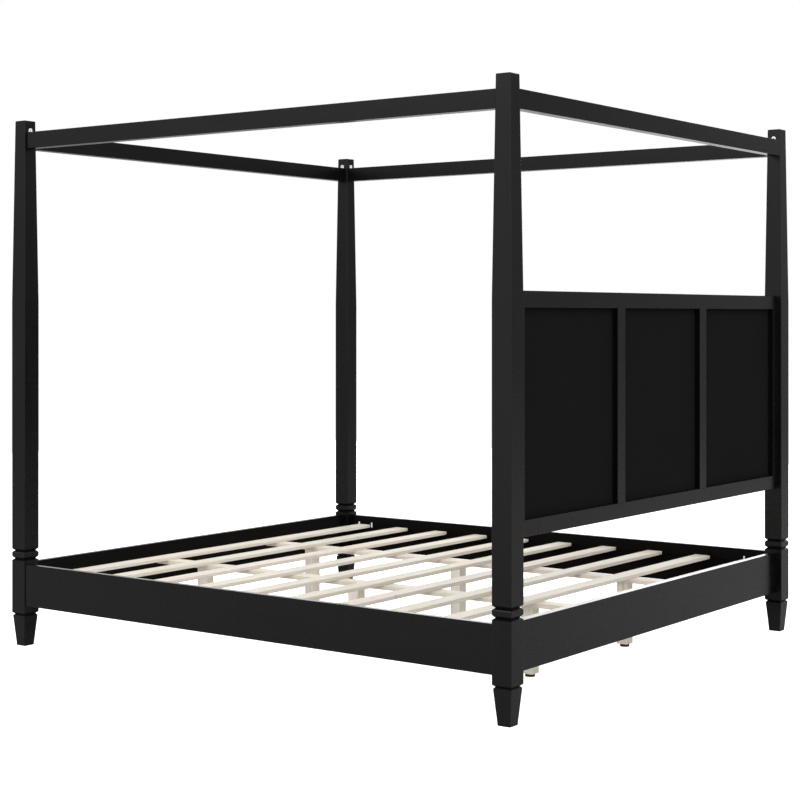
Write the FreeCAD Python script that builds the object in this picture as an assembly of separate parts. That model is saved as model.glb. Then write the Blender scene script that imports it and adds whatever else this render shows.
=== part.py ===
import FreeCAD, Part
import math
import os

# Four poster canopy bed, king size. Millimetres, +Z up, +Y towards the head end,
# +X the right-hand side. The origin is on the floor under the middle of the bed.

V = FreeCAD.Vector

# ---------------------------------------------------------------- driving dimensions
HEIGHT = 1950.0                 # floor to the tops of the posts
POST_X = 967.5                  # post axes, from the bed's centre
POST_Y = 1066.5
POST_HALF = 35.0                # half width of the posts' straight lower length
POST_TOP_HALF = 26.3            # half width at the top of the taper
TAPER_Z = 1276.0                # the taper starts here
POST_EDGE_R = 2.5
POST_PRISMS = 8                 # prisms crossed to make a post; four round its corners

FOOT_HALF = 22.5                # tapered foot: half width on the floor
FOOT_TOP_HALF = 32.5
FOOT_TOP_Z = 111.0
FOOT_EASE = (0.5, 0.5)          # eased edge under the foot: across and up
GROOVE_HALF = 27.0              # half width at the bottom of each V groove
BLOCK_Z = (123.0, 317.0)        # square block that the bed rails join
RING_Z = (332.0, 345.0)         # square ring between two V grooves
RING_LIP = (2.0, 3.0)           # small step at the ring's two edges: across and up
GROOVE_RISE = (6.0, 7.0)        # groove bottoms: above the block, and below the shaft
SHAFT_Z = 360.0                 # the upper shaft starts here
TOP_EASE = 1.5                  # chamfer round the post's top

RAIL_Z = (150.8, 304.5)         # bed rails
RAIL_T = 22.0
HEAD_RAIL_T = 25.0
RAIL_SETBACK = 4.0              # rail face behind the post's outer face
HEAD_RAIL_SETBACK = 27.5
RAIL_EDGE_R = 2.0

CANOPY_Z = (1846.3, 1906.7)
CANOPY_T = 39.0
CANOPY_FACE = 26.8              # end rails: outer face from the post's axis

FRAME_T = 35.0                  # headboard frame
FRAME_BACK = 16.0               # its back face, from the post's axis
FRAME_Z = (556.9, 1302.0)
FRAME_W = 51.0                  # rails and mullions
STILE_W = 35.0
FRAME_EDGE_R = 1.5
MULLION_X = 298.6
PANEL_T = 6.0
PANEL_RECESS = 20.0             # panel behind the frame's back face
TONGUE = 8.0                    # panel edge and stub tenon inside a groove
GROOVE_GAP = 0.1                # clearance each side of a tongue
GROOVE_END_GAP = 1.0            # room left beyond a tongue

SLAT_COUNT = 10
SLAT_W = 63.5
SLAT_T = 13.0
SLAT_TOP = 269.0
SLAT_HALF_LENGTH = 958.0
SLAT_FIRST_Y = -950.5
SLAT_PITCH = 213.1
SLAT_EDGE_R = 0.6

LEDGER_W = 40.0
LEDGER_H = 28.0
LEDGER_HALF_LENGTH = 1028.0
LEDGER_SCREWS = 7
LEDGER_SCREW_RISE = 9.0         # screws above the ledger's underside

BOARD_X = 330.0                 # lengthwise support boards
BOARD_W = 60.0
BOARD_T = 16.0
BOARD_INSET = 2.0               # its ends, inside the outer edges of the end slats

LEG_W = 44.0
LEG_Y = (-747.0, 0.0, 747.0)
GLIDE_R = 17.5
GLIDE_H = 10.0
GLIDE_EDGE_R = 2.0
LEG_GLIDE_GAP = 0.5
STEM_R = 4.0
STEM_L = 32.0
STEM_ROOT = 1.0                 # part of the stem moulded into the disc
INSERT_R = 6.0
INSERT_BORE_R = 4.05
INSERT_L = 20.0
STEM_HOLE_R = 5.0
STEM_HOLE_L = 50.0

PLATE_T = 2.5                   # bed-rail hook plates and their slotted mates
PLATE_HALF_W = 8.0
PLATE_HALF_L = 60.0
HOOK_HALF_W = 2.4
HOOK_H = 16.0
HOOK_LIP = 8.0
HOOK_REACH = 6.8
HOOK_GAP = 0.3                  # between a hook's lip and the back of the slotted plate
SLOT_HALF_W = 3.0
SLOT_H = 26.0
SLOT_STARTS = (8.0, -38.0)      # lower end of each slot, from the plate's middle
WELL_END_GAP = 2.0              # room round the hooks, behind and below them
WELL_SIDE_GAP = 1.0
PLATE_SCREW_Z = 52.0
HEADBOARD_PLATE_Z = (700.0, 1160.0)

EAR_T = 3.0                     # canopy rail end plates
EAR_R = 8.0
EAR_RISE = 7.5                  # centre of the ear above the rail's top face
EAR_DROP = 50.0
EAR_SCREW_Z = (-15.0, -38.0)

PEG_R = 3.5
PEG_TOP = 278.0
PEG_DEPTH = 20.0
PEG_GAP = 1.0                   # between a peg and its slat's edge
PEG_X = 964.0
PEG_CHAMFER = 0.8

# screws and bolts: length, shank radius, head radius, head height
PLATE_SCREW = (25.0, 1.8, 3.6, 2.2)
LEDGER_SCREW = (55.0, 2.2, 4.2, 3.0)
SLAT_SCREW = (28.0, 1.8, 3.6, 2.4)
LEG_BOLT = (46.0, 4.0, 7.5, 4.5)
TIP = 4.0                       # length of a wood screw's point
TIP_R = 0.4

# ---------------------------------------------------------------- worked-out places
SIDE_RAIL_OUT = POST_X + POST_HALF - RAIL_SETBACK
SIDE_RAIL_IN = SIDE_RAIL_OUT - RAIL_T
FOOT_RAIL_OUT = -(POST_Y + POST_HALF - RAIL_SETBACK)
FOOT_RAIL_IN = FOOT_RAIL_OUT + RAIL_T
HEAD_RAIL_OUT = POST_Y + POST_HALF - HEAD_RAIL_SETBACK
HEAD_RAIL_IN = HEAD_RAIL_OUT - HEAD_RAIL_T
POST_IN_X = POST_X - POST_HALF
POST_IN_Y = POST_Y - POST_HALF
RAIL_MID_Z = sum(RAIL_Z) / 2

BACK_Y = POST_Y + FRAME_BACK
FRONT_Y = BACK_Y - FRAME_T
PANEL_BACK_Y = BACK_Y - PANEL_RECESS
PANEL_FRONT_Y = PANEL_BACK_Y - PANEL_T
OPEN_Z = (FRAME_Z[0] + FRAME_W, FRAME_Z[1] - FRAME_W)

SLAT_BOTTOM = SLAT_TOP - SLAT_T
BOARD_BOTTOM = SLAT_BOTTOM - BOARD_T
LEG_BOTTOM = GLIDE_H + LEG_GLIDE_GAP
LEDGER_IN = SIDE_RAIL_IN - LEDGER_W
LEDGER_BOTTOM = SLAT_BOTTOM - LEDGER_H

SIDES = {"right": 1, "left": -1}
ENDS = {"head": 1, "foot": -1}


def slat_y(i):
    return SLAT_FIRST_Y + i * SLAT_PITCH


def post_half(z):
    """Half width of a post's tapered upper length at height z."""
    share = (z - TAPER_Z) / (HEIGHT - TAPER_Z)
    return POST_HALF + (POST_TOP_HALF - POST_HALF) * share


# ---------------------------------------------------------------- shape helpers
def box(x, y, z):
    """Box from three (low, high) pairs, in any order within a pair."""
    low = V(min(x), min(y), min(z))
    return Part.makeBox(abs(x[1] - x[0]), abs(y[1] - y[0]), abs(z[1] - z[0]), low)


def rounded(shape, radius, axis):
    """Round the edges of a box that run along axis, 0 for X, 1 for Y, 2 for Z."""
    edges = [e for e in shape.Edges if abs(e.tangentAt(e.FirstParameter)[axis]) > 0.999]
    return shape.makeFillet(radius, edges)


def cylinder(radius, height, base, direction=V(0, 0, 1)):
    return Part.makeCylinder(radius, height, base, direction)


def countersunk(size, pointed=True):
    """Screw along +X: flat head face at x = 0, shank into positive x."""
    length, shank_r, head_r, head_h = size
    axis = V(1, 0, 0)
    tip = TIP if pointed else 0.0
    head = Part.makeCone(head_r, shank_r, head_h, V(0, 0, 0), axis)
    shank = cylinder(shank_r, length - head_h - tip, V(head_h, 0, 0), axis)
    body = head.fuse(shank)
    if pointed:
        body = body.fuse(Part.makeCone(shank_r, TIP_R, tip, V(length - tip, 0, 0), axis))
    return body.removeSplitter()


def place(shape, origin, direction, tilt=0.0):
    """Turn a shape's local +X to a level direction, then lean it by tilt degrees."""
    heading = math.degrees(math.atan2(direction[1], direction[0]))
    lean = FreeCAD.Rotation(V(0, 1, 0), tilt)
    turn = FreeCAD.Rotation(V(0, 0, 1), heading)
    moved = shape.copy()
    moved.Placement = FreeCAD.Placement(V(*origin), turn.multiply(lean)).multiply(shape.Placement)
    return moved


def downward(shape, origin):
    """Stand a shape made along +X on its head, pointing down from origin."""
    moved = shape.copy()
    moved.Placement = FreeCAD.Placement(V(*origin), FreeCAD.Rotation(V(0, 1, 0), 90))
    return moved


def export(name, shapes):
    """Write one node: a single solid, or a group of separate solids."""
    shapes = shapes if isinstance(shapes, list) else [shapes]
    solids = [solid for shape in shapes for solid in shape.Solids]
    for solid in solids:
        if not solid.isValid():
            print("INVALID", name)
    whole = solids[0] if len(solids) == 1 else Part.makeCompound(solids)
    whole.exportStep("parts/" + name + ".step")
    print("%-24s %2d solids %12.0f mm3" % (name, len(solids), sum(s.Volume for s in solids)))


# ---------------------------------------------------------------- rail joints
def hook_plate():
    """Plate let into a rail's end, with two hooks that drop into the post's slots."""
    plate = box((0, PLATE_T), (-PLATE_HALF_W, PLATE_HALF_W), (-PLATE_HALF_L, PLATE_HALF_L))
    for start in SLOT_STARTS:
        arm = box((-HOOK_REACH, PLATE_T), (-HOOK_HALF_W, HOOK_HALF_W), (start, start + HOOK_H))
        lip = box((-HOOK_REACH, -PLATE_T - HOOK_GAP), (-HOOK_HALF_W, HOOK_HALF_W),
                  (start - HOOK_LIP, start + HOOK_H))
        plate = plate.fuse([arm, lip])
    return plate.removeSplitter()


def slot_plate():
    """Slotted plate let into the post's face."""
    plate = box((-PLATE_T, 0), (-PLATE_HALF_W, PLATE_HALF_W), (-PLATE_HALF_L, PLATE_HALF_L))
    slots = [box((-PLATE_T, 0), (-SLOT_HALF_W, SLOT_HALF_W), (start, start + SLOT_H))
             for start in SLOT_STARTS]
    return plate.cut(slots)


def plate_pocket(into_post):
    """Room for one plate, and in the post for the hooks behind it."""
    side = -PLATE_T if into_post else PLATE_T
    pocket = box((side, 0), (-PLATE_HALF_W, PLATE_HALF_W), (-PLATE_HALF_L, PLATE_HALF_L))
    if not into_post:
        return [pocket]
    half = SLOT_HALF_W + WELL_SIDE_GAP
    wells = [box((-HOOK_REACH - WELL_END_GAP, -PLATE_T), (-half, half),
                 (start - HOOK_LIP - WELL_END_GAP, start + SLOT_H)) for start in SLOT_STARTS]
    return [pocket] + wells


def joint_places():
    """Post name, rail name, point on the post's face, and direction into the rail."""
    places = []
    for side, sx in SIDES.items():
        for end, sy in ENDS.items():
            post = "post_%s_%s" % (end, side)
            centre_x = sx * (SIDE_RAIL_OUT + SIDE_RAIL_IN) / 2
            places.append((post, "rail_side_" + side, (centre_x, sy * POST_IN_Y, RAIL_MID_Z),
                           (0, -sy)))
        foot_y = (FOOT_RAIL_OUT + FOOT_RAIL_IN) / 2
        head_y = (HEAD_RAIL_OUT + HEAD_RAIL_IN) / 2
        face_x = sx * POST_IN_X
        places.append(("post_foot_" + side, "rail_foot", (face_x, foot_y, RAIL_MID_Z), (-sx, 0)))
        places.append(("post_head_" + side, "rail_head", (face_x, head_y, RAIL_MID_Z), (-sx, 0)))
        for z in HEADBOARD_PLATE_Z:
            middle_y = (BACK_Y + FRONT_Y) / 2
            places.append(("post_head_" + side, "headboard_stile_" + side,
                           (face_x, middle_y, z), (-sx, 0)))
    return places


def rail_joints(cuts):
    """Hook plates, slotted plates and their screws, and the pockets they need."""
    hooks, slots, screws = [], [], []
    screw = countersunk(PLATE_SCREW)
    for post, rail, origin, direction in joint_places():
        back = (-direction[0], -direction[1])
        joint_screws = {"post": [], "rail": []}
        for z in (-PLATE_SCREW_Z, PLATE_SCREW_Z):
            point = (origin[0], origin[1], origin[2] + z)
            joint_screws["post"].append(place(screw, point, back))
            joint_screws["rail"].append(place(screw, point, direction))
        hooks.append(place(hook_plate(), origin, direction).cut(joint_screws["rail"]))
        slots.append(place(slot_plate(), origin, direction).cut(joint_screws["post"]))
        screws += joint_screws["post"] + joint_screws["rail"]
        cuts.setdefault(post, []).extend(joint_screws["post"])
        cuts.setdefault(rail, []).extend(joint_screws["rail"])
        cuts[post] += [place(p, origin, direction) for p in plate_pocket(True)]
        cuts[rail] += [place(p, origin, direction) for p in plate_pocket(False)]
    export("rail_hook_plates", hooks)
    export("post_slot_plates", slots)
    export("rail_plate_screws", screws)


# ---------------------------------------------------------------- canopy joints
def ear_plate():
    """Canopy rail end plate: a strip whose rounded ear stands above the rail."""
    strip = box((0, EAR_T), (-EAR_R, EAR_R), (-EAR_DROP, EAR_RISE))
    ear = cylinder(EAR_R, EAR_T, V(0, 0, EAR_RISE), V(1, 0, 0))
    return strip.fuse(ear).removeSplitter()


def canopy_places():
    """Post, rail, point on the post's tapered face at the rail's top, and direction."""
    places = []
    face = post_half(CANOPY_Z[1])
    for side, sx in SIDES.items():
        for end, sy in ENDS.items():
            post = "post_%s_%s" % (end, side)
            places.append((post, "canopy_side_" + side,
                           (sx * POST_X, sy * (POST_Y - face), CANOPY_Z[1]), (0, -sy)))
            places.append((post, "canopy_" + end,
                           (sx * (POST_X - face), sy * POST_Y, CANOPY_Z[1]),
                           (-sx, 0)))
    return places


def canopy_joints(cuts):
    """Ear plates lean with the posts' taper; one screw holds each ear to its post."""
    plates, screws = [], []
    screw = countersunk(PLATE_SCREW)
    reversed_screw = screw.copy()
    reversed_screw.rotate(V(0, 0, 0), V(0, 0, 1), 180)
    lean = -math.degrees(math.atan2(POST_HALF - POST_TOP_HALF, HEIGHT - TAPER_Z))
    for post, rail, origin, direction in canopy_places():
        to_post = reversed_screw.copy()
        to_post.translate(V(EAR_T, 0, EAR_RISE))
        to_rail = []
        for z in EAR_SCREW_Z:
            one = screw.copy()
            one.translate(V(0, 0, z))
            to_rail.append(one)
        to_post = place(to_post, origin, direction, lean)
        to_rail = [place(one, origin, direction, lean) for one in to_rail]
        blank = place(ear_plate(), origin, direction, lean)
        plates.append(blank.cut([to_post] + to_rail))
        screws += [to_post] + to_rail
        cuts.setdefault(post, []).append(to_post)
        cuts.setdefault(rail, []).extend(to_rail + [blank])
    export("canopy_end_plates", plates)
    export("canopy_screws", screws)


# ---------------------------------------------------------------- posts
def post_outline():
    """Half-width and height points up one face of a post."""
    block_low, block_high = BLOCK_Z
    ring_low, ring_high = RING_Z
    ease, ease_z = FOOT_EASE
    lip, lip_z = RING_LIP
    above_block, below_shaft = GROOVE_RISE
    return [
        (FOOT_HALF - ease, 0.0), (FOOT_HALF, ease_z), (FOOT_TOP_HALF, FOOT_TOP_Z),
        (GROOVE_HALF, (FOOT_TOP_Z + block_low) / 2), (POST_HALF, block_low),
        (POST_HALF, block_high), (GROOVE_HALF, block_high + above_block),
        (POST_HALF - lip, ring_low - lip_z), (POST_HALF, ring_low),
        (POST_HALF, ring_high), (POST_HALF - lip, ring_high + lip_z),
        (GROOVE_HALF, SHAFT_Z - below_shaft), (POST_HALF, SHAFT_Z), (POST_HALF, TAPER_Z),
        (POST_TOP_HALF, HEIGHT - TOP_EASE), (POST_TOP_HALF - TOP_EASE, HEIGHT)]


def crossing_prism(angle):
    """Prism of the post's outline, long in the level direction at this angle.

    Between 0 and 90 degrees its faces touch the posts' rounded corners.
    """
    spread = abs(math.cos(math.radians(angle))) + abs(math.sin(math.radians(angle)))
    reach = [(half * spread - POST_EDGE_R * (spread - 1.0), z) for half, z in post_outline()]
    left = [(-half, z) for half, z in reversed(reach)]
    points = [V(half, -2 * POST_HALF, z) for half, z in reach + left]
    prism = Part.Face(Part.makePolygon(points + points[:1])).extrude(V(0, 4 * POST_HALF, 0))
    prism.rotate(V(0, 0, 0), V(0, 0, 1), angle)
    return prism


def post_blank():
    """Square-section post with eased corners: crossed prisms of one outline."""
    post = crossing_prism(0.0)
    for step in range(1, POST_PRISMS):
        post = post.common(crossing_prism(step * 180.0 / POST_PRISMS))
    return post.Solids[0]


def posts(cuts):
    blank = post_blank()
    for end, sy in ENDS.items():
        for side, sx in SIDES.items():
            name = "post_%s_%s" % (end, side)
            post = blank.copy()
            post.translate(V(sx * POST_X, sy * POST_Y, 0))
            export(name, post.cut(cuts[name]))
    return blank


# ---------------------------------------------------------------- rails
def bed_rails(cuts):
    for side, sx in SIDES.items():
        rail = box((sx * SIDE_RAIL_IN, sx * SIDE_RAIL_OUT), (-POST_IN_Y, POST_IN_Y), RAIL_Z)
        name = "rail_side_" + side
        export(name, rounded(rail, RAIL_EDGE_R, 1).cut(cuts[name]))
    for name, faces in (("rail_foot", (FOOT_RAIL_OUT, FOOT_RAIL_IN)),
                        ("rail_head", (HEAD_RAIL_IN, HEAD_RAIL_OUT))):
        rail = box((-POST_IN_X, POST_IN_X), faces, RAIL_Z)
        export(name, rounded(rail, RAIL_EDGE_R, 0).cut(cuts[name]))


def canopy_rails(cuts, blank):
    """Canopy rails, scribed to the posts' tapered faces."""
    all_posts = []
    for sx in SIDES.values():
        for sy in ENDS.values():
            post = blank.copy()
            post.translate(V(sx * POST_X, sy * POST_Y, 0))
            all_posts.append(post)
    for side, sx in SIDES.items():
        edges_x = (sx * POST_X - CANOPY_T / 2, sx * POST_X + CANOPY_T / 2)
        rail = rounded(box(edges_x, (-POST_Y, POST_Y), CANOPY_Z), RAIL_EDGE_R, 1)
        name = "canopy_side_" + side
        export(name, rail.cut(all_posts).cut(cuts[name]))
    for end, sy in ENDS.items():
        edges_y = (sy * (POST_Y + CANOPY_FACE), sy * (POST_Y + CANOPY_FACE - CANOPY_T))
        rail = rounded(box((-POST_X, POST_X), edges_y, CANOPY_Z), RAIL_EDGE_R, 0)
        name = "canopy_" + end
        longest = max(rail.cut(all_posts).Solids, key=lambda solid: solid.Volume)
        export(name, longest.cut(cuts[name]))


# ---------------------------------------------------------------- headboard
def groove(x, z):
    """Slot cut for tongues, centred on the panels' plane."""
    return box(x, (PANEL_FRONT_Y - GROOVE_GAP, PANEL_BACK_Y + GROOVE_GAP), z)


def tenon(x, z):
    return box(x, (PANEL_FRONT_Y, PANEL_BACK_Y), z)


def headboard(cuts):
    reach = TONGUE + GROOVE_END_GAP
    low, high = OPEN_Z
    frame_y = (FRONT_Y, BACK_Y)
    for name, z, slot_z in (
            ("headboard_top_rail", (high, FRAME_Z[1]), (high, high + reach)),
            ("headboard_bottom_rail", (FRAME_Z[0], low), (low - reach, low))):
        rail = rounded(box((-POST_IN_X, POST_IN_X), frame_y, z), FRAME_EDGE_R, 0)
        export(name, rail.cut(groove((-POST_IN_X, POST_IN_X), slot_z)))
    stub_z = (low - TONGUE, high + TONGUE)
    for side, sx in SIDES.items():
        inner, outer = sx * (POST_IN_X - STILE_W), sx * POST_IN_X
        stile = box((inner, outer), frame_y, OPEN_Z).fuse(tenon((inner, outer), stub_z))
        stile = stile.cut(groove((inner, inner + sx * reach), stub_z))
        name = "headboard_stile_" + side
        export(name, stile.removeSplitter().cut(cuts[name]))
        near, far = sx * MULLION_X - FRAME_W / 2, sx * MULLION_X + FRAME_W / 2
        mullion = box((near, far), frame_y, OPEN_Z).fuse(tenon((near, far), stub_z))
        mullion = mullion.cut([groove((near, near + reach), stub_z),
                               groove((far - reach, far), stub_z)])
        export("headboard_mullion_" + side, mullion.removeSplitter())
    side_panel = (MULLION_X + FRAME_W / 2 - TONGUE, POST_IN_X - STILE_W + TONGUE)
    middle = MULLION_X - FRAME_W / 2 + TONGUE
    panel_y = (PANEL_FRONT_Y, PANEL_BACK_Y)
    export("headboard_panel_middle", box((-middle, middle), panel_y, stub_z))
    for side, sx in SIDES.items():
        edges = (sx * side_panel[0], sx * side_panel[1])
        export("headboard_panel_" + side, box(edges, panel_y, stub_z))


# ---------------------------------------------------------------- slatted base
def slats():
    """Ten cross slats, each held to the ledgers by one screw an end."""
    screw = countersunk(SLAT_SCREW)
    screw_x = (LEDGER_IN + SLAT_HALF_LENGTH) / 2
    screws = []
    for i in range(SLAT_COUNT):
        y = slat_y(i)
        slat = box((-SLAT_HALF_LENGTH, SLAT_HALF_LENGTH), (y - SLAT_W / 2, y + SLAT_W / 2),
                   (SLAT_BOTTOM, SLAT_TOP))
        pair = [downward(screw, (sx * screw_x, y, SLAT_TOP)) for sx in (-1, 1)]
        export("slat_%02d" % (i + 1), rounded(slat, SLAT_EDGE_R, 0).cut(pair))
        screws += pair
    export("slat_screws", screws)
    return screws


def pegs():
    """Pins that stand in the ledgers on both sides of the first and last slats."""
    offset = SLAT_W / 2 + PEG_R + PEG_GAP
    places = [(sx * PEG_X, slat_y(i) + sy * offset)
              for sx in (-1, 1) for i in (0, SLAT_COUNT - 1) for sy in (-1, 1)]
    base = SLAT_BOTTOM - PEG_DEPTH
    pins = []
    for x, y in places:
        pin = cylinder(PEG_R, PEG_TOP - base, V(x, y, base))
        top = [e for e in pin.Edges if e.BoundBox.ZMin > PEG_TOP - 0.1]
        pins.append(pin.makeChamfer(PEG_CHAMFER, top))
    export("slat_pegs", pins)
    return pins


def ledgers(cuts, slat_holes):
    """Ledgers that carry the slats' ends, screwed along the side rails."""
    screw = countersunk(LEDGER_SCREW)
    screws = []
    step = 2 * LEDGER_HALF_LENGTH / LEDGER_SCREWS
    for side, sx in SIDES.items():
        ledger = box((sx * LEDGER_IN, sx * SIDE_RAIL_IN),
                     (-LEDGER_HALF_LENGTH, LEDGER_HALF_LENGTH), (LEDGER_BOTTOM, SLAT_BOTTOM))
        own = []
        for i in range(LEDGER_SCREWS):
            y = -LEDGER_HALF_LENGTH + (i + 0.5) * step
            own.append(place(screw, (sx * LEDGER_IN, y, LEDGER_BOTTOM + LEDGER_SCREW_RISE),
                             (sx, 0)))
        export("ledger_" + side, ledger.cut(own + slat_holes))
        cuts["rail_side_" + side] += own
        screws += own
    export("ledger_screws", screws)


def threaded_insert(base):
    ring = cylinder(INSERT_R, INSERT_L, base)
    return ring.cut(cylinder(INSERT_BORE_R, INSERT_L, base))


def support_frame():
    """Support boards, their legs, the legs' bolts and inserts, and the levelling glides."""
    bolt = countersunk(LEG_BOLT, pointed=False)
    bolts, inserts = [], []
    reach = SLAT_W / 2 - BOARD_INSET
    ends = (slat_y(0) - reach, slat_y(SLAT_COUNT - 1) + reach)
    for side, sx in SIDES.items():
        board = box((sx * BOARD_X - BOARD_W / 2, sx * BOARD_X + BOARD_W / 2), ends,
                    (BOARD_BOTTOM, SLAT_BOTTOM))
        own = [downward(bolt, (sx * BOARD_X, y, SLAT_BOTTOM)) for y in LEG_Y]
        export("support_board_" + side, rounded(board, SLAT_EDGE_R, 1).cut(own))
        bolts += own
        for number, y in enumerate(LEG_Y, 1):
            inserts += support_leg("%s_%d" % (side, number), sx * BOARD_X, y, own)
    export("leg_bolts", bolts)
    export("threaded_inserts", inserts)


def support_leg(tag, x, y, bolts):
    """One leg with an insert in each end; the lower one takes the glide's stem."""
    half = LEG_W / 2
    leg = box((x - half, x + half), (y - half, y + half), (LEG_BOTTOM, BOARD_BOTTOM))
    top_base = V(x, y, BOARD_BOTTOM - INSERT_L)
    low_base = V(x, y, LEG_BOTTOM)
    holes = [cylinder(INSERT_R, INSERT_L, top_base), cylinder(INSERT_R, INSERT_L, low_base),
             cylinder(STEM_HOLE_R, STEM_HOLE_L, low_base)]
    export("support_leg_" + tag, rounded(leg, RAIL_EDGE_R, 2).cut(holes + bolts))
    disc = cylinder(GLIDE_R, GLIDE_H, V(x, y, 0))
    disc = disc.makeFillet(GLIDE_EDGE_R, [e for e in disc.Edges if e.Closed and e.Length > GLIDE_R])
    stem = cylinder(STEM_R, STEM_L + STEM_ROOT, V(x, y, GLIDE_H - STEM_ROOT))
    export("glide_" + tag, disc.fuse(stem).removeSplitter())
    return [threaded_insert(top_base), threaded_insert(low_base)]


def main():
    os.makedirs("parts", exist_ok=True)
    cuts = {}
    rail_joints(cuts)
    canopy_joints(cuts)
    blank = posts(cuts)
    canopy_rails(cuts, blank)
    headboard(cuts)
    slat_holes = slats() + pegs()
    ledgers(cuts, slat_holes)
    bed_rails(cuts)
    support_frame()


main()
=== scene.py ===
import math

import bmesh
import bpy
from mathutils import Matrix, Vector


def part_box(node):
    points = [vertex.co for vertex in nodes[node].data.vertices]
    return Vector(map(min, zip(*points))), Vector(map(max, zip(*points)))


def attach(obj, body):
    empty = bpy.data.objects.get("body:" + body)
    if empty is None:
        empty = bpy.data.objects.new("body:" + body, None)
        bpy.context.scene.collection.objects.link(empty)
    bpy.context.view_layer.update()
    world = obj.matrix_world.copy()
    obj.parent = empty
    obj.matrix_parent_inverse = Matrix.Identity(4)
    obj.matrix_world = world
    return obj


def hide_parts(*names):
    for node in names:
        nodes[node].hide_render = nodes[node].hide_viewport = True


# Four poster canopy bed in black lacquer with a pale slatted base.
# Metres, +Z up, +Y towards the head end, in the CAD's own frame.

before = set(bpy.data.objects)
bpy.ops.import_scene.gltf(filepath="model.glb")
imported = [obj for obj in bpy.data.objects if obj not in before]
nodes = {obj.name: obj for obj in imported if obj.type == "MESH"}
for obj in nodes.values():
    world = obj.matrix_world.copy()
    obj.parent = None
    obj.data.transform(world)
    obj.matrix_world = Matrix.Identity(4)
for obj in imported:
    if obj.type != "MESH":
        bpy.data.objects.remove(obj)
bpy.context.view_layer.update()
scene = bpy.context.scene


# ---------------------------------------------------------------- camera and studio
CAMERA_PLACE = (5.302, 3.854, 1.2256)
CAMERA_HEADING = 126.329           # degrees, level
SENSOR = 36.0                      # millimetres
LENS = 77.353                      # millimetres
SHIFT_Y = -0.1053


def make_camera():
    """Level camera, its frame shifted down to the bed."""
    data = bpy.data.cameras.new("camera")
    data.sensor_width = SENSOR
    data.lens = LENS
    data.shift_y = SHIFT_Y
    data.clip_end = 100.0
    camera = bpy.data.objects.new("camera", data)
    camera.location = CAMERA_PLACE
    camera.rotation_euler = (math.radians(90), 0, math.radians(CAMERA_HEADING))
    scene.collection.objects.link(camera)
    scene.camera = camera


# ---------------------------------------------------------------- node helpers
RING_SCALE = 70.0                  # growth rings about 4.5 mm apart
RING_WANDER = 19.0
RING_SHARPNESS = 2.2
KNOT_CELLS = 4.2                   # scattered cells a metre
KNOT_SIZE = 0.028                  # radius, as a share of a cell
KNOT_CORE, KNOT_HALO = 0.7, 2.6    # as shares of that radius
KNOT_DEPTH, HALO_DEPTH = 0.85, 0.5
EDGE_BAND = 0.0015                 # metres in from a corner
EDGE_FADE = (0.86, 0.995)          # cosine between the rounded and the flat normal
INSIDE_FADE = (-0.90, -0.80)       # metres from the middle, for faces that look at it: where the painted shade on inner faces fades in
AXES = {"x": 0, "y": 1, "z": 2}


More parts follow.
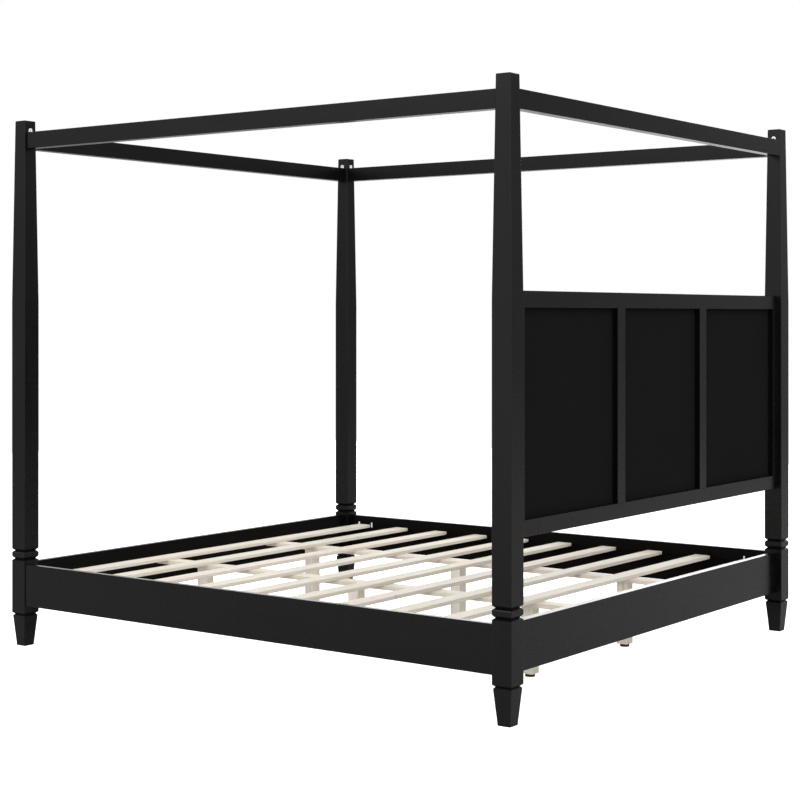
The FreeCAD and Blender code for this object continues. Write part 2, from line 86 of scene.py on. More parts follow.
class Shader:
    """A material's or world's node tree, with one call per node."""

    def __init__(self, owner):
        owner.use_nodes = True
        self.tree = owner.node_tree
        self.tree.nodes.clear()

    def node(self, kind, settings=None, **inputs):
        """A new node; an input's name has _ for each space."""
        made = self.tree.nodes.new("ShaderNode" + kind)
        for key, value in (settings or {}).items():
            setattr(made, key, value)
        for key, value in inputs.items():
            self.feed(made, key.replace("_", " "), value)
        return made

    def feed(self, made, name, value):
        """Link or set one input, given by name or by number."""
        socket = made.inputs[int(name)] if name.isdigit() else made.inputs[name]
        if isinstance(value, bpy.types.NodeSocket):
            self.tree.links.new(value, socket)
        else:
            socket.default_value = value

    def math(self, operation, *values):
        """Output of a maths node, whose values may be outputs too."""
        made = self.tree.nodes.new("ShaderNodeMath")
        made.operation = operation
        for place, value in enumerate(values):
            self.feed(made, str(place), value)
        return made.outputs[0]

    def weighted(self, *parts):
        """Sum of values, each given with its share."""
        total = None
        for value, share in parts:
            scaled = self.math("MULTIPLY", value, share)
            total = scaled if total is None else self.math("ADD", total, scaled)
        return total

    def ramp(self, value, span, result):
        """Smooth step of a value over a span, to a pair of results."""
        made = self.node("MapRange", {"interpolation_type": "SMOOTHSTEP"}, Value=value)
        for name, number in zip(("From Min", "From Max", "To Min", "To Max"), span + result):
            made.inputs[name].default_value = number
        return made.outputs[0]

    def blend(self, share, first, second):
        """Colour between two colours, either of which may be a node's output."""
        made = self.node("Mix", {"data_type": "RGBA"})
        self.feed(made, "0", share)
        for place, colour in (("6", first), ("7", second)):
            linked = isinstance(colour, bpy.types.NodeSocket)
            self.feed(made, place, colour if linked else (*colour, 1.0))
        return made.outputs[2]

    def stretched(self, place, axis, along, across):
        """Coordinates scaled by one number along an axis and another across it."""
        scale = [across, across, across]
        scale[AXES[axis]] = along
        return self.node("Mapping", Vector=place, Scale=scale).outputs[0]

    def noise(self, place, detail, rough):
        """Noise that takes its scale from the coordinates."""
        return self.node("TexNoise", Vector=place, Scale=1.0, Detail=detail, Roughness=rough).outputs[0]

    def bump(self, height, strength, distance, below=None):
        """Normal roughened by a height, over another bump if one is given."""
        made = self.node("Bump", Height=height, Strength=strength, Distance=distance)
        if below is not None:
            self.feed(made, "Normal", below)
        return made.outputs[0]

    def rings(self, place, axis, wander):
        """Growth rings round an axis: slow pale early wood, then a sharp darker line."""
        made = self.node("TexWave", {"wave_type": "RINGS", "rings_direction": axis.upper(),
                                     "wave_profile": "SAW"}, Vector=place)
        made.inputs["Scale"].default_value = RING_SCALE
        made.inputs["Distortion"].default_value = 0.0
        self.feed(made, "Phase Offset", self.math("MULTIPLY", wander, RING_WANDER))
        return self.math("POWER", made.outputs["Fac"], RING_SHARPNESS)

    def facing_middle(self):
        """1 on faces that look towards the bed's long axis or middle, else 0: where inner faces get
        painted shade.
        """
        geometry = self.node("NewGeometry")
        level = self.node("VectorMath", {"operation": "MULTIPLY"})
        self.feed(level, "0", geometry.outputs["Position"])
        self.feed(level, "1", (1.0, 1.0, 0.0))
        dot = self.node("VectorMath", {"operation": "DOT_PRODUCT"})
        self.feed(dot, "0", level.outputs[0])
        self.feed(dot, "1", geometry.outputs["True Normal"])
        return self.ramp(dot.outputs["Value"], INSIDE_FADE, (1.0, 0.0))

    def edges(self):
        """1 along sharp corners, where the paint is lightened as wear and as a painted highlight, and 0
        on flats.
        """
        rounded = self.node("Bevel", {"samples": 4}, Radius=EDGE_BAND)
        flat = self.node("NewGeometry")
        dot = self.node("VectorMath", {"operation": "DOT_PRODUCT"})
        self.feed(dot, "0", rounded.outputs[0])
        self.feed(dot, "1", flat.outputs["Normal"])
        return self.ramp(dot.outputs["Value"], EDGE_FADE, (1.0, 0.0))

    def knots(self, place, axis):
        """Knot and the darker halo round it, as two masks from scattered cells."""
        flat = [1.0, 1.0, 1.0]
        flat[2 if axis != "z" else 1] = 0.0
        cells = self.node("TexVoronoi", {"feature": "F1"}, Vector=self.node(
            "Mapping", Vector=place, Scale=flat).outputs[0], Scale=KNOT_CELLS)
        distance = cells.outputs["Distance"]
        return (self.ramp(distance, (KNOT_SIZE * KNOT_CORE, KNOT_SIZE), (KNOT_DEPTH, 0.0)),
                self.ramp(distance, (KNOT_SIZE, KNOT_SIZE * KNOT_HALO), (HALO_DEPTH, 0.0)))


# soft lobes of distant light: azimuth and elevation in degrees, strength, width in degrees
LOBES = (
    (202.0, 15.0, 4.2, 15.0),
    (152.0, -3.0, 0.16, 12.0),
    (80.0, 35.0, 3.0, 25.0),
    (0.0, 90.0, 0.50, 40.0),
)
BASE_LIGHT = 0.10


def towards(azimuth, elevation):
    """Unit vector: azimuth 0 is +X and 90 is +Y."""
    around, up = math.radians(azimuth), math.radians(elevation)
    return Vector((math.cos(around) * math.cos(up), math.sin(around) * math.cos(up), math.sin(up)))


def studio_world():
    """White backdrop; what lights the bed is a dim room with soft lobes of light."""
    world = bpy.data.worlds.new("studio")
    scene.world = world
    s = Shader(world)
    direction = s.node("TexCoord").outputs["Generated"]
    strength = BASE_LIGHT
    for azimuth, elevation, power, width in LOBES:
        dot = s.node("VectorMath", {"operation": "DOT_PRODUCT"})
        s.feed(dot, "0", direction)
        s.feed(dot, "1", towards(azimuth, elevation))
        facing = s.math("MULTIPLY_ADD", dot.outputs["Value"], 0.5, 0.5)
        sharpness = 2.0 / math.radians(width) ** 2
        lobe = s.math("MULTIPLY", s.math("POWER", facing, sharpness), power)
        strength = s.math("ADD", strength, lobe)
    around = s.node("Background", Color=(1, 1, 1, 1), Strength=strength)
    backdrop = s.node("Background", Color=(1, 1, 1, 1), Strength=1.0)
    choice = s.node("MixShader", Fac=s.node("LightPath").outputs["Is Camera Ray"])
    s.feed(choice, "1", around.outputs[0])
    s.feed(choice, "2", backdrop.outputs[0])
    s.node("OutputWorld", Surface=choice.outputs[0])


def stage_sheet(name, corners, material):
    """Flat four-cornered sheet that isn't part of the bed."""
    mesh = bpy.data.meshes.new(name)
    mesh.from_pydata(corners, [], [(0, 1, 2, 3)])
    mesh.materials.append(material)
    made = bpy.data.objects.new(name, mesh)
    scene.collection.objects.link(made)
    return made


CARD_X = 4.5                       # front card: a soft light beside the bed, unseen itself
CARD_HALF_LENGTH = 9.0
CARD_FOOT = 0.01                   # just off the floor
CARD_HEIGHT = 6.0
CARD_DIM = 0.52                    # brightness at the foot end
CARD_MIDDLE = 1.00                 # brightness from the middle to the head end
CARD_TOP = 2.6                     # how much more the upper band gives, as a share
CARD_FADE_Y = (-5.5, -0.8)         # where dim turns to middle
CARD_FADE_Z = (2.7, 3.8)           # where the upper band begins


def front_card():
    """The card's brightness fades towards the foot end and rises in its upper band."""
    material = bpy.data.materials.new("front_card")
    s = Shader(material)
    place = s.node("SeparateXYZ", Vector=s.node("TexCoord").outputs["Object"])
    along = s.ramp(place.outputs["Y"], CARD_FADE_Y, (CARD_DIM, CARD_MIDDLE))
    above = s.ramp(place.outputs["Z"], CARD_FADE_Z, (0.0, 1.0))
    strength = s.math("ADD", along, s.math("MULTIPLY", above, s.math("MULTIPLY", along, CARD_TOP)))
    s.node("OutputMaterial", Surface=s.node("Emission", Strength=strength).outputs[0])
    low, high = -CARD_HALF_LENGTH, CARD_HALF_LENGTH
    corners = [(CARD_X, low, CARD_FOOT), (CARD_X, high, CARD_FOOT), (CARD_X, high, CARD_HEIGHT),
               (CARD_X, low, CARD_HEIGHT)]
    stage_sheet("front_card", corners, material).visible_camera = False


FLOOR_REACH = 8.0
FLOOR_TONE = 0.85
FLOOR_MIRRORED = 0.48              # darker in reflections than it is to look at
FLOOR_GLOW = 0.8                   # extra light that only the camera sees


def floor():
    """Pale floor that shows as white, as the backdrop does, with only a trace of shadow."""
    material = bpy.data.materials.new("floor_white")
    s = Shader(material)
    path = s.node("LightPath")
    tone = s.math("MULTIPLY_ADD", path.outputs["Is Glossy Ray"], FLOOR_MIRRORED - FLOOR_TONE, FLOOR_TONE)
    lit = s.node("BsdfDiffuse", Color=tone)
    glow = s.node("Emission", Strength=s.math("MULTIPLY", path.outputs["Is Camera Ray"], FLOOR_GLOW))
    total = s.node("AddShader")
    s.feed(total, "0", lit.outputs[0])
    s.feed(total, "1", glow.outputs[0])
    s.node("OutputMaterial", Surface=total.outputs[0])
    corners = [(x * FLOOR_REACH, y * FLOOR_REACH, 0) for x, y in ((-1, -1), (1, -1), (1, 1), (-1, 1))]
    stage_sheet("floor", corners, material)


# ---------------------------------------------------------------- materials
TEXTURE_SPAN = (0.3, 0.7)          # where most of a noise's values lie

# scales are along and across the grain, per metre
LACQUER_GRAIN = (2.5, 95.0)
LACQUER_PEEL = (240.0, 260.0)
LACQUER_CLOUD = (3.0, 9.0)
LACQUER_TONES = ((0.0010, 0.0010, 0.0010), (0.0024, 0.002328, 0.00228))
# lighter lacquer along corners: worn paint, and a painted highlight along the edges
LACQUER_WORN_AND_LIT = (0.010, 0.0095, 0.009)
LACQUER_SHINE = (0.24, 0.31)
LACQUER_IOR = 1.33                 # real lacquer is near 1.5: lowered to suit the lights
# painted shade: tones of the darker matte finish on faces that look towards the bed's middle
INSIDE_SHADE_TONES = ((0.0050, 0.0043, 0.0036), (0.0072, 0.0062, 0.0050))


def new_material(name):
    """A material, its shader tree and the object coordinates to paint by."""
    material = bpy.data.materials.new(name)
    s = Shader(material)
    return material, s, s.node("TexCoord").outputs["Object"]


def finish_material(s, bsdf):
    """Wire the last shader to the material's output."""
    s.node("OutputMaterial", Surface=bsdf.outputs[0])


def lacquer(name, axis, shade_inside=False):
    """Sprayed black lacquer: a little orange peel, and the wood's grain just telling through.

    With the switch set, faces that look towards the bed's middle get a darker matte finish: painted shade
    for the light they lack there. That is a guess, made because those faces came out too bright under
    these lights.
    """
    material, s, place = new_material(name)
    grain = s.noise(s.stretched(place, axis, *LACQUER_GRAIN), detail=6.0, rough=0.65)
    peel = s.noise(s.stretched(place, axis, *LACQUER_PEEL), detail=2.0, rough=0.5)
    cloud = s.noise(s.stretched(place, axis, *LACQUER_CLOUD), detail=3.0, rough=0.6)
    colour = s.blend(cloud, *LACQUER_TONES)
    roughness = s.ramp(s.weighted((cloud, 0.6), (peel, 0.4)), TEXTURE_SPAN, LACQUER_SHINE)
    bump = s.bump(grain, 0.10, 0.0006)
    bump = s.bump(peel, 0.05, 0.0003, bump)
    # corners lightened in patches: worn paint and a painted highlight along the edges
    worn_and_lit = s.math("MULTIPLY", s.edges(), s.ramp(cloud, (0.45, 0.62), (0.25, 1.0)))
    colour = s.blend(worn_and_lit, colour, LACQUER_WORN_AND_LIT)
    roughness = s.math("ADD", roughness, s.math("MULTIPLY", worn_and_lit, 0.12))
    bsdf = s.node("BsdfPrincipled", Base_Color=colour, Roughness=roughness, Normal=bump, IOR=LACQUER_IOR)
    # painted shade: faces towards the bed's middle turn to a matte finish that darkens them
    if shade_inside:
        inside_shade = s.node("BsdfPrincipled", Base_Color=s.blend(grain, *INSIDE_SHADE_TONES), Roughness=0.75, IOR=1.10,
                      Normal=s.bump(grain, 0.3, 0.0006))
        both = s.node("MixShader", Fac=s.facing_middle())
        s.feed(both, "1", bsdf.outputs[0])
        s.feed(both, "2", inside_shade.outputs[0])
        bsdf = both
    finish_material(s, bsdf)
    return material


BOARD_FIBRE = (70.0, 420.0)
BOARD_CLOUD = (2.5, 3.5)
BOARD_TONES = ((0.0042, 0.0042, 0.0042), (0.0062, 0.0061, 0.0060))


def flat_board(name):
    """Matte black board with a fine pressed-fibre texture."""
    material, s, place = new_material(name)
    fibre = s.noise(s.stretched(place, "z", *BOARD_FIBRE), detail=4.0, rough=0.7)
    cloud = s.noise(s.stretched(place, "z", *BOARD_CLOUD), detail=3.0, rough=0.55)
    colour = s.blend(s.weighted((cloud, 0.7), (fibre, 0.3)), *BOARD_TONES)
    bsdf = s.node("BsdfPrincipled", Base_Color=colour, Roughness=0.92, IOR=1.12,
                  Normal=s.bump(fibre, 0.25, 0.0004))
    finish_material(s, bsdf)
    return material


PINE_WANDER = (1.1, 9.0)
PINE_FIBRE = (26.0, 900.0)
PINE_STREAK = (1.6, 55.0)
PINE_CLOUD = (2.0, 3.0)
PINE_WARMTH = (1.0, 0.93, 0.86)
KNOT_TONE = (0.22, 0.12, 0.065)
HALO_SHADE = 0.72
PINE_IOR, STAIN_IOR = 1.3, 1.08    # tuned with the lights, lower than real coatings


def pith_of(seed):
    """Where the growth rings' middle lies, so that no two boards are cut alike."""
    return Vector((0.37 * seed, 0.09 + 0.031 * (seed % 5), 0.06 + 0.017 * (seed % 3)))


def pine(name, axis, seed, light, dark, stain=False):
    """Planed softwood: growth rings round a pith beside the board, fibres and a few knots."""
    material, s, place = new_material(name)
    moved = s.node("VectorMath", {"operation": "ADD"})
    s.feed(moved, "0", place)
    s.feed(moved, "1", pith_of(seed))
    place = moved.outputs[0]
    wander = s.noise(s.stretched(place, axis, *PINE_WANDER), detail=2.0, rough=0.5)
    rings = s.rings(place, axis, wander)
    fibre = s.noise(s.stretched(place, axis, *PINE_FIBRE), detail=3.0, rough=0.7)
    streak = s.noise(s.stretched(place, axis, *PINE_STREAK), detail=4.0, rough=0.6)
    cloud = s.noise(s.stretched(place, axis, *PINE_CLOUD), detail=2.0, rough=0.5)
    streaks = s.ramp(streak, (0.45, 0.75), (0.0, 1.0))
    depth = s.weighted((rings, 0.34), (fibre, 0.22), (streaks, 0.4))
    colour = s.blend(depth, light, dark)
    warm = tuple(part * tone for part, tone in zip(light, PINE_WARMTH))
    colour = s.blend(s.ramp(cloud, (0.35, 0.75), (0.0, 0.5)), colour, warm)
    if not stain:
        knot, halo = s.knots(place, axis)
        colour = s.blend(halo, colour, tuple(part * HALO_SHADE for part in dark))
        colour = s.blend(knot, colour, KNOT_TONE)
    bump = s.bump(rings, 0.05, 0.0005)
    bump = s.bump(fibre, 0.18, 0.0004, bump)
    bsdf = s.node("BsdfPrincipled", Base_Color=colour, Roughness=s.ramp(depth, (0.0, 1.0), (0.52, 0.72)),
                  Normal=bump, IOR=STAIN_IOR if stain else PINE_IOR)
    finish_material(s, bsdf)
    return material


STEEL_SPANGLE = (420.0, 420.0)
STEEL_BRUSH = (90.0, 2400.0)
STEEL_SHADE = 0.82                 # the darker spangles


def plated_steel(name, colour, roughness, metallic):
    """Metal plate with faint brushing and uneven shine."""
    material, s, place = new_material(name)
    spangle = s.noise(s.stretched(place, "z", *STEEL_SPANGLE), detail=2.0, rough=0.6)
    brush = s.noise(s.stretched(place, "z", *STEEL_BRUSH), detail=2.0, rough=0.5)
    shine = s.weighted((spangle, 0.6), (brush, 0.4))
    tint = tuple(part * STEEL_SHADE for part in colour)
    bsdf = s.node("BsdfPrincipled", Base_Color=s.blend(spangle, tint, colour), Metallic=metallic,
                  Roughness=s.ramp(shine, TEXTURE_SPAN, roughness), Normal=s.bump(brush, 0.08, 0.0001))
    finish_material(s, bsdf)
    return material


PLASTIC_GRAIN = (1500.0, 1500.0)
PLASTIC_CLOUD = (60.0, 60.0)
PLASTIC_LIFT = 1.5                 # the lighter clouds


def moulded(name, colour, roughness):
    """Moulded plastic with a fine spark-eroded grain."""
    material, s, place = new_material(name)
    grain = s.noise(s.stretched(place, "z", *PLASTIC_GRAIN), detail=2.0, rough=0.5)
    cloud = s.noise(s.stretched(place, "z", *PLASTIC_CLOUD), detail=2.0, rough=0.5)
    lighter = tuple(PLASTIC_LIFT * part for part in colour)
    bsdf = s.node("BsdfPrincipled", Base_Color=s.blend(cloud, colour, lighter),
                  Roughness=s.ramp(grain, TEXTURE_SPAN, roughness), Normal=s.bump(grain, 0.2, 0.0001))
    finish_material(s, bsdf)
    return material


# pale tones of one board and its darker rings; each board takes the next pair
PALE_TONES = (
    ((0.750, 0.705, 0.640), (0.52, 0.45, 0.37)),
    ((0.745, 0.715, 0.635), (0.48, 0.43, 0.33)),
    ((0.770, 0.710, 0.650), (0.53, 0.44, 0.36)),
    ((0.765, 0.725, 0.645), (0.50, 0.44, 0.34)),
)
LEG_PAINTED_LIGHT = 1.15                    # legs painted paler than the boards, as painted light for how brightly they are lit: tuned, not known
STAIN_TONES = ((0.0035, 0.0030, 0.0027), (0.0018, 0.0015, 0.0013))
PEG_TONES = ((0.93, 0.91, 0.87), (0.80, 0.76, 0.69))
# colour, roughness and metallic share of each metal
ZINC = ((0.80, 0.80, 0.81), (0.24, 0.42), 1.0)
BRIGHT_ZINC = ((0.94, 0.94, 0.95), (0.50, 0.68), 0.35)
BLACK_OXIDE = ((0.03, 0.03, 0.032), (0.35, 0.55), 1.0)
BLACK_PLASTIC = ((0.012, 0.012, 0.013), (0.38, 0.55))
BLACK_COATS = {"post": "z", "rail_side": "rail_y", "rail_foot": "rail_x", "rail_head": "rail_x",
              "canopy_side": "y", "canopy_foot": "x", "canopy_head": "x",
              "headboard_top": "x", "headboard_bottom": "x", "headboard_stile": "z",
              "headboard_mullion": "z"}
STEEL_NODES = ("rail_hook_plates", "post_slot_plates", "rail_plate_screws", "canopy_screws",
               "slat_screws", "leg_bolts", "threaded_inserts")


def cover(obj, material):
    """Give an object one material."""
    obj.data.materials.clear()
    obj.data.materials.append(material)


def pale_boards():
    """Name, grain axis and seed of every slat, support board and leg."""
    for seed, name in enumerate(named("slat_0", "slat_1", "support")):
        yield name, "x" if name.startswith("slat") else "z" if "leg" in name else "y", seed


def make_coats():
    """The materials that both the CAD nodes and the rebuilt pieces wear."""
    coats = {axis: lacquer("black_lacquer_" + axis, axis) for axis in AXES}
    for axis in ("x", "y"):
        coats["rail_" + axis] = lacquer("black_lacquer_rail_" + axis, axis, shade_inside=True)
    coats["steel"] = plated_steel("zinc_steel", *ZINC)
    coats["black_oxide"] = plated_steel("black_oxide", *BLACK_OXIDE)
    coats["plastic"] = moulded("black_plastic", *BLACK_PLASTIC)
    for name, axis, seed in pale_boards():
        light, dark = PALE_TONES[seed % len(PALE_TONES)]
        # painted light: the legs' copy of the pine is paler, standing in for the light that falls on them
        if "leg" in name:
            light = tuple(part * LEG_PAINTED_LIGHT for part in light)
        coats[name] = pine("pale_" + name, axis, seed, light, dark)
    return coats


def named(*starts):
    """Names of the CAD nodes that start with one of these words."""
    return sorted(name for name in nodes if name.startswith(starts))


def paint_nodes(coats):
    """Give every CAD node its material."""
    for start, coat in BLACK_COATS.items():
        for name in named(start):
            if name not in STEEL_NODES:
                cover(nodes[name], coats[coat])
    for name in STEEL_NODES:
        cover(nodes[name], coats["steel"])
    cover(nodes["canopy_end_plates"], plated_steel("zinc_bright", *BRIGHT_ZINC))
    board = flat_board("black_panel")
    for name in named("headboard_panel"):
        cover(nodes[name], board)
    stain = pine("black_stain_y", "y", 3, *STAIN_TONES, stain=True)
    for name in ("ledger_right", "ledger_left"):
        cover(nodes[name], stain)
    cover(nodes["ledger_screws"], coats["black_oxide"])
    cover(nodes["slat_pegs"], pine("peg_wood", "z", 2, *PEG_TONES))
    for name, _, _ in pale_boards():
        cover(nodes[name], coats[name])
    for name in named("glide"):
        cover(nodes[name], coats["plastic"])


# ---------------------------------------------------------------- pieces
SMOOTH_BELOW = 35.0                # degrees


def add_piece(name, made, material, body, replaced):
    """One finished piece of the bed from a bmesh."""
    mesh = bpy.data.meshes.new(name)
    made.to_mesh(mesh)
    made.free()
    mesh.materials.append(material)
    mesh.shade_smooth()
    mesh.set_sharp_from_angle(angle=math.radians(SMOOTH_BELOW))
    piece = bpy.data.objects.new(name, mesh)
    scene.collection.objects.link(piece)
    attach(piece, body)
    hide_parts(replaced)


def skin(made, rings):
    """Quads between successive rings of points, and a face over each end."""
    loops = [[made.verts.new(point) for point in ring] for ring in rings]
    for low, high in zip(loops, loops[1:]):
        for i in range(len(low)):
            j = (i + 1) % len(low)
            made.faces.new((low[i], low[j], high[j], high[i]))
    made.faces.new(reversed(loops[0]))
    made.faces.new(loops[-1])


PLANK_STEP = 0.045                 # sections along a plank
PLANK_EASE = 0.0008                # eased corners and ends
PLANK_UNEVEN = 0.00035             # deepest hollow left by the planer
PLANK_END_GAP = 0.00015            # lets the metal in a leg's ends show
CORNER_STEPS = 3
HOLLOW_PLACES = (0.6, 0.2, -0.2, -0.6)    # points across a face, as shares of its half width
HOLLOW_MEAN, HOLLOW_SWING = 0.7, 0.3      # shares of the deepest hollow
HOLLOW_TURN = 2.3                  # radians from the middle of a face to its edge
PLANK_WANDER = 3.1                 # radians a metre
PLANK_SHIFT = 1.7                  # radians from one plank to the next
EASE_SWING, EASE_TURN = 0.35, 2.7


def plank_section(half_a, half_b, ease, hollow, phase):
    """Rounded rectangle, its faces hollowed by a little that wanders along the plank."""
    points = []
    for quarter, (side_a, side_b) in enumerate(((1, 1), (-1, 1), (-1, -1), (1, -1))):
        for step in range(CORNER_STEPS + 1):
            angle = math.radians(90.0 * (quarter + step / CORNER_STEPS))
            points.append([side_a * (half_a - ease) + ease * math.cos(angle),
                           side_b * (half_b - ease) + ease * math.sin(angle)])
        if quarter % 2 == 0:
            for share in HOLLOW_PLACES:
                dip = hollow * (HOLLOW_MEAN + HOLLOW_SWING * math.sin(phase + HOLLOW_TURN * share))
                points.append([side_a * share * half_a, side_b * (half_b - dip * (1 - share ** 2))])
    return points


def plank(name, axis, seed, material):
    """Sawn and planed board in the place of a CAD node, inside the node's box."""
    low, high = (Vector(corner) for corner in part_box(name))
    centre, half = (low + high) / 2, (high - low) / 2
    along = AXES[axis]
    across = [i for i in range(3) if i != along]
    across.sort(key=lambda i: -half[i])
    length = half[along] - PLANK_END_GAP
    count = max(4, round(2 * length / PLANK_STEP))
    inner = length - PLANK_EASE
    stations = [(-length, PLANK_EASE)]
    stations += [(-inner + 2 * inner * i / count, 0.0) for i in range(count + 1)]
    stations += [(length, PLANK_EASE)]
    rings = []
    for place, drawn_in in stations:
        phase = seed * PLANK_SHIFT + place * PLANK_WANDER
        ease = PLANK_EASE * (1.0 + EASE_SWING * math.sin(phase * EASE_TURN))
        section = plank_section(half[across[0]] - drawn_in, half[across[1]] - drawn_in, ease,
                                PLANK_UNEVEN, phase)
        ring = []
        for a, b in section:
            point = Vector(centre)
            point[along] += place
            point[across[0]] += a
            point[across[1]] += b
            ring.append(point)
        rings.append(ring)
    made = bmesh.new()
    skin(made, rings)
    bmesh.ops.recalc_face_normals(made, faces=made.faces)
    add_piece(name + "_planed", made, material, "frame", name)


ROUND = 24                         # points round a screw
CROSS_ANGLE = 360.0 / 12           # the cross recess has twelve corners
CROSS_REACH = 0.62                 # as shares of the head's radius
CROSS_HALF_WIDTH = 0.15
CROSS_DEPTH = 0.45
CROSS_TAPER = 0.72                 # its floor, as a share of its mouth
CROSS_POINT = 1.15                 # its middle, as a share of its depth
HEAD_EDGE = ((0.93, 0.0), (1.0, 0.06), (0.97, 0.14))    # radius and depth, of the head's radius
PITCH_SHARE = 1.1                  # of the shank's radius
PLAIN_SHARE = 0.25                 # of the length, below the head
THREAD_ROOT = 0.74                 # of the shank's radius
ROOT_SPAN = (0.25, 0.7)            # of the pitch
POINT_SHARE = 0.2                  # of the shank's radius


def lathe_ring(radius, depth):
    """Circle of points round local Z, turned so that the cross recess lines up with it."""
    turn = math.radians(360.0 / ROUND)
    start = -math.radians(CROSS_ANGLE / 2)
    return [Vector((radius * math.cos(start + i * turn), radius * math.sin(start + i * turn), -depth))
            for i in range(ROUND)]


def cross_ring(head_radius, depth, share):
    """Corners of the cross recess, in order round it."""
    reach = CROSS_REACH * head_radius * share
    half = CROSS_HALF_WIDTH * head_radius * share
    arm = [(reach, -half), (reach, half), (half, half)]
    points = []
    for quarter in range(4):
        c = round(math.cos(quarter * math.pi / 2))
        s = round(math.sin(quarter * math.pi / 2))
        points += [Vector((a * c - b * s, a * s + b * c, -depth)) for a, b in arm]
    return points


def screw_profile(size):
    """Radius and depth down a screw: head, plain shank, thread and point."""
    length, shank_r, head_r, head_h = size
    pitch = PITCH_SHARE * shank_r
    depth = head_h + PLAIN_SHARE * length
    profile = [(head_r * radius, head_r * down) for radius, down in HEAD_EDGE]
    profile += [(shank_r, head_h), (shank_r, depth)]
    while depth + pitch < length - 2 * shank_r:
        profile += [(shank_r * THREAD_ROOT, depth + pitch * share) for share in ROOT_SPAN]
        depth += pitch
        profile.append((shank_r, depth))
    profile.append((shank_r * POINT_SHARE, length))
    return profile


def screw(made, size, matrix):
    """Cross-recessed countersunk screw: head at the origin, shank down local Z."""
    head_r = size[2]
    rings = [[made.verts.new(matrix @ p) for p in lathe_ring(r, z)] for r, z in screw_profile(size)]
    for low, high in zip(rings, rings[1:]):
        for i in range(ROUND):
            j = (i + 1) % ROUND
            made.faces.new((low[i], high[i], high[j], low[j]))
    made.faces.new(reversed(rings[-1]))
    mouth = [made.verts.new(matrix @ p) for p in cross_ring(head_r, 0.0, 1.0)]
    base = [made.verts.new(matrix @ p) for p in cross_ring(head_r, CROSS_DEPTH * head_r, CROSS_TAPER)]
    rim = rings[0]
    for i, corner in enumerate(mouth):
        j = (i + 1) % len(mouth)
        made.faces.new((corner, rim[2 * i], rim[2 * i + 1]))
        made.faces.new((corner, rim[2 * i + 1], rim[(2 * i + 2) % ROUND]))
        made.faces.new((corner, rim[(2 * i + 2) % ROUND], mouth[j]))
        made.faces.new((corner, mouth[j], base[j], base[i]))
    middle = made.verts.new(matrix @ Vector((0, 0, -CROSS_DEPTH * head_r * CROSS_POINT)))
    for i, corner in enumerate(base):
        made.faces.new((corner, base[(i + 1) % len(base)], middle))


WELD = 0.00002                     # points nearer than this are one


def solids_of(node):
    """Points of each separate solid in a CAD node, in the row frame."""
    made = bmesh.new()
    made.from_mesh(nodes[node].data)
    made.transform(nodes[node].matrix_world)
    bmesh.ops.remove_doubles(made, verts=made.verts, dist=WELD)
    left, found = set(made.verts), []
    while left:
        group, edge = [], [left.pop()]
        while edge:
            vertex = edge.pop()
            group.append(vertex.co.copy())
            for other in (link.other_vert(vertex) for link in vertex.link_edges):
                if other in left:
                    left.remove(other)
                    edge.append(other)
        found.append(group)
    made.free()
    return found


TIP_SPAN = 0.0012                  # a screw's tip is narrower than this
RIM_DEPTH = 0.00003                # how far off the head's plane its points may lie


def mean(points):
    """Middle of some points."""
    return sum(points, Vector()) / len(points)


def heads_in(node):
    """Middle of the head, and direction, of each pointed screw in a CAD node."""
    heads = []
    for points in solids_of(node):
        middle = mean(points)
        end = max(points, key=lambda p: (p - middle).length)
        tip = mean([p for p in points if (p - end).length < TIP_SPAN])
        reach = max((p - tip).length for p in points)
        head = mean([p for p in points if (p - tip).length > reach - RIM_DEPTH])
        heads.append((head, (tip - head).normalized()))
    return heads


DOWN = Vector((0, 0, -1))


def detail_screws(name, size, material, heads):
    """Replace a node of plain screws by cross-recessed ones; heads gives (point, direction)."""
    made = bmesh.new()
    for point, direction in heads:
        turn = DOWN.rotation_difference(direction)
        screw(made, size, Matrix.Translation(point) @ turn.to_matrix().to_4x4())
    bmesh.ops.recalc_face_normals(made, faces=made.faces)
    add_piece(name + "_driven", made, material, "frame", name)


GLIDE_POINTS = 40
GLIDE_SCALLOPS = 20
SCALLOP_DEPTH = 0.0005
GLIDE_PROFILE = (                  # radius, height and share of the scallops, millimetres
    (15.3, 0.0, 0), (16.6, 0.35, 0), (17.3, 1.2, 0), (17.5, 2.2, 0), (17.5, 3.3, 1), (16.7, 3.8, 1),
    (16.7, 6.6, 1), (17.5, 7.1, 1), (17.5, 8.2, 0), (16.9, 9.3, 0), (15.7, 10.0, 0), (9.0, 10.0, 0),
    (8.6, 9.5, 0), (5.6, 9.5, 0), (5.2, 10.0, 0), (3.4, 10.0, 0),
)
STEM_CREST, STEM_ROOT = 4.0, 3.35  # M8 stem, millimetres
STEM_PITCH = 1.25
STEM_SPAN = (10.0, 41.4)
STEM_TIP = 3.0                     # radius
STEM_STEPS = 6                     # sections a turn


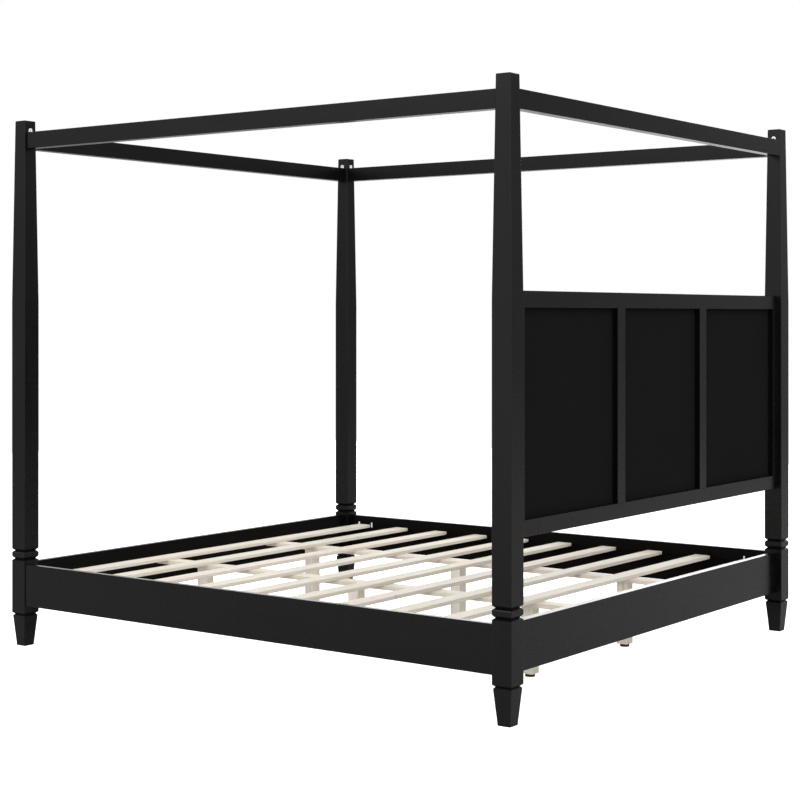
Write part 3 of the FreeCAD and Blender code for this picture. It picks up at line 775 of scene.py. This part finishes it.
def glide(name, material):
    """Levelling glide: ribbed foot moulded round a threaded stem."""
    low, high = (Vector(corner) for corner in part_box(name))
    centre = (low + high) / 2
    turns = [2 * math.pi * i / GLIDE_POINTS for i in range(GLIDE_POINTS)]
    rings = []
    for radius, z, share in GLIDE_PROFILE:
        rings.append([(radius / 1000 - share * SCALLOP_DEPTH * (0.5 + 0.5 * math.cos(GLIDE_SCALLOPS * t)),
                       t, z / 1000) for t in turns])
    bottom, top = STEM_SPAN
    count = int((top - bottom) / STEM_PITCH * STEM_STEPS)
    for i in range(1, count + 1):
        z = bottom + (top - bottom) * i / count
        ring = []
        for t in turns:
            share = abs(2 * ((z / STEM_PITCH - t / (2 * math.pi)) % 1.0) - 1)
            ring.append(((STEM_ROOT + (STEM_CREST - STEM_ROOT) * share) / 1000, t, z / 1000))
        rings.append(ring)
    rings.append([(STEM_TIP / 1000, t, high.z - low.z) for t in turns])
    made = bmesh.new()
    skin(made, [[(centre.x + r * math.cos(t), centre.y + r * math.sin(t), low.z + z)
                 for r, t, z in ring] for ring in rings])
    bmesh.ops.recalc_face_normals(made, faces=made.faces)
    add_piece(name + "_moulded", made, material, "leveller" + name[len("glide"):], name)


# length, shank radius, head radius and head height of each kind of screw, metres
CANOPY_SCREW = (0.025, 0.0018, 0.0036, 0.0022)
LEDGER_SCREW = (0.055, 0.0022, 0.0042, 0.0030)
SLAT_SCREW = (0.028, 0.0018, 0.0036, 0.0024)
LEG_BOLT = (0.046, 0.0040, 0.0075, 0.0045)


def leg_bolt_heads():
    """Over the middle of each leg, at the top of its board, and straight down."""
    top = max(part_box(name)[1][2] for name in named("support_board"))
    heads = []
    for name in named("support_leg"):
        low, high = (Vector(corner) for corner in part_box(name))
        middle = (low + high) / 2
        heads.append((Vector((middle.x, middle.y, top)), DOWN))
    return heads


def detail_pieces(coats):
    """Rebuild the boards, screws, bolts and glides as fine meshes."""
    for name, axis, seed in pale_boards():
        plank(name, axis, seed, coats[name])
    for name, size in (("canopy_screws", CANOPY_SCREW), ("slat_screws", SLAT_SCREW)):
        detail_screws(name, size, coats["steel"], heads_in(name))
    detail_screws("ledger_screws", LEDGER_SCREW, coats["black_oxide"],
                  heads_in("ledger_screws"))
    detail_screws("leg_bolts", LEG_BOLT, coats["steel"], leg_bolt_heads())
    for name in named("glide"):
        glide(name, coats["plastic"])


make_camera()
studio_world()
floor()
front_card()
coats = make_coats()
paint_nodes(coats)
detail_pieces(coats)
scene.view_settings.view_transform = "Standard"
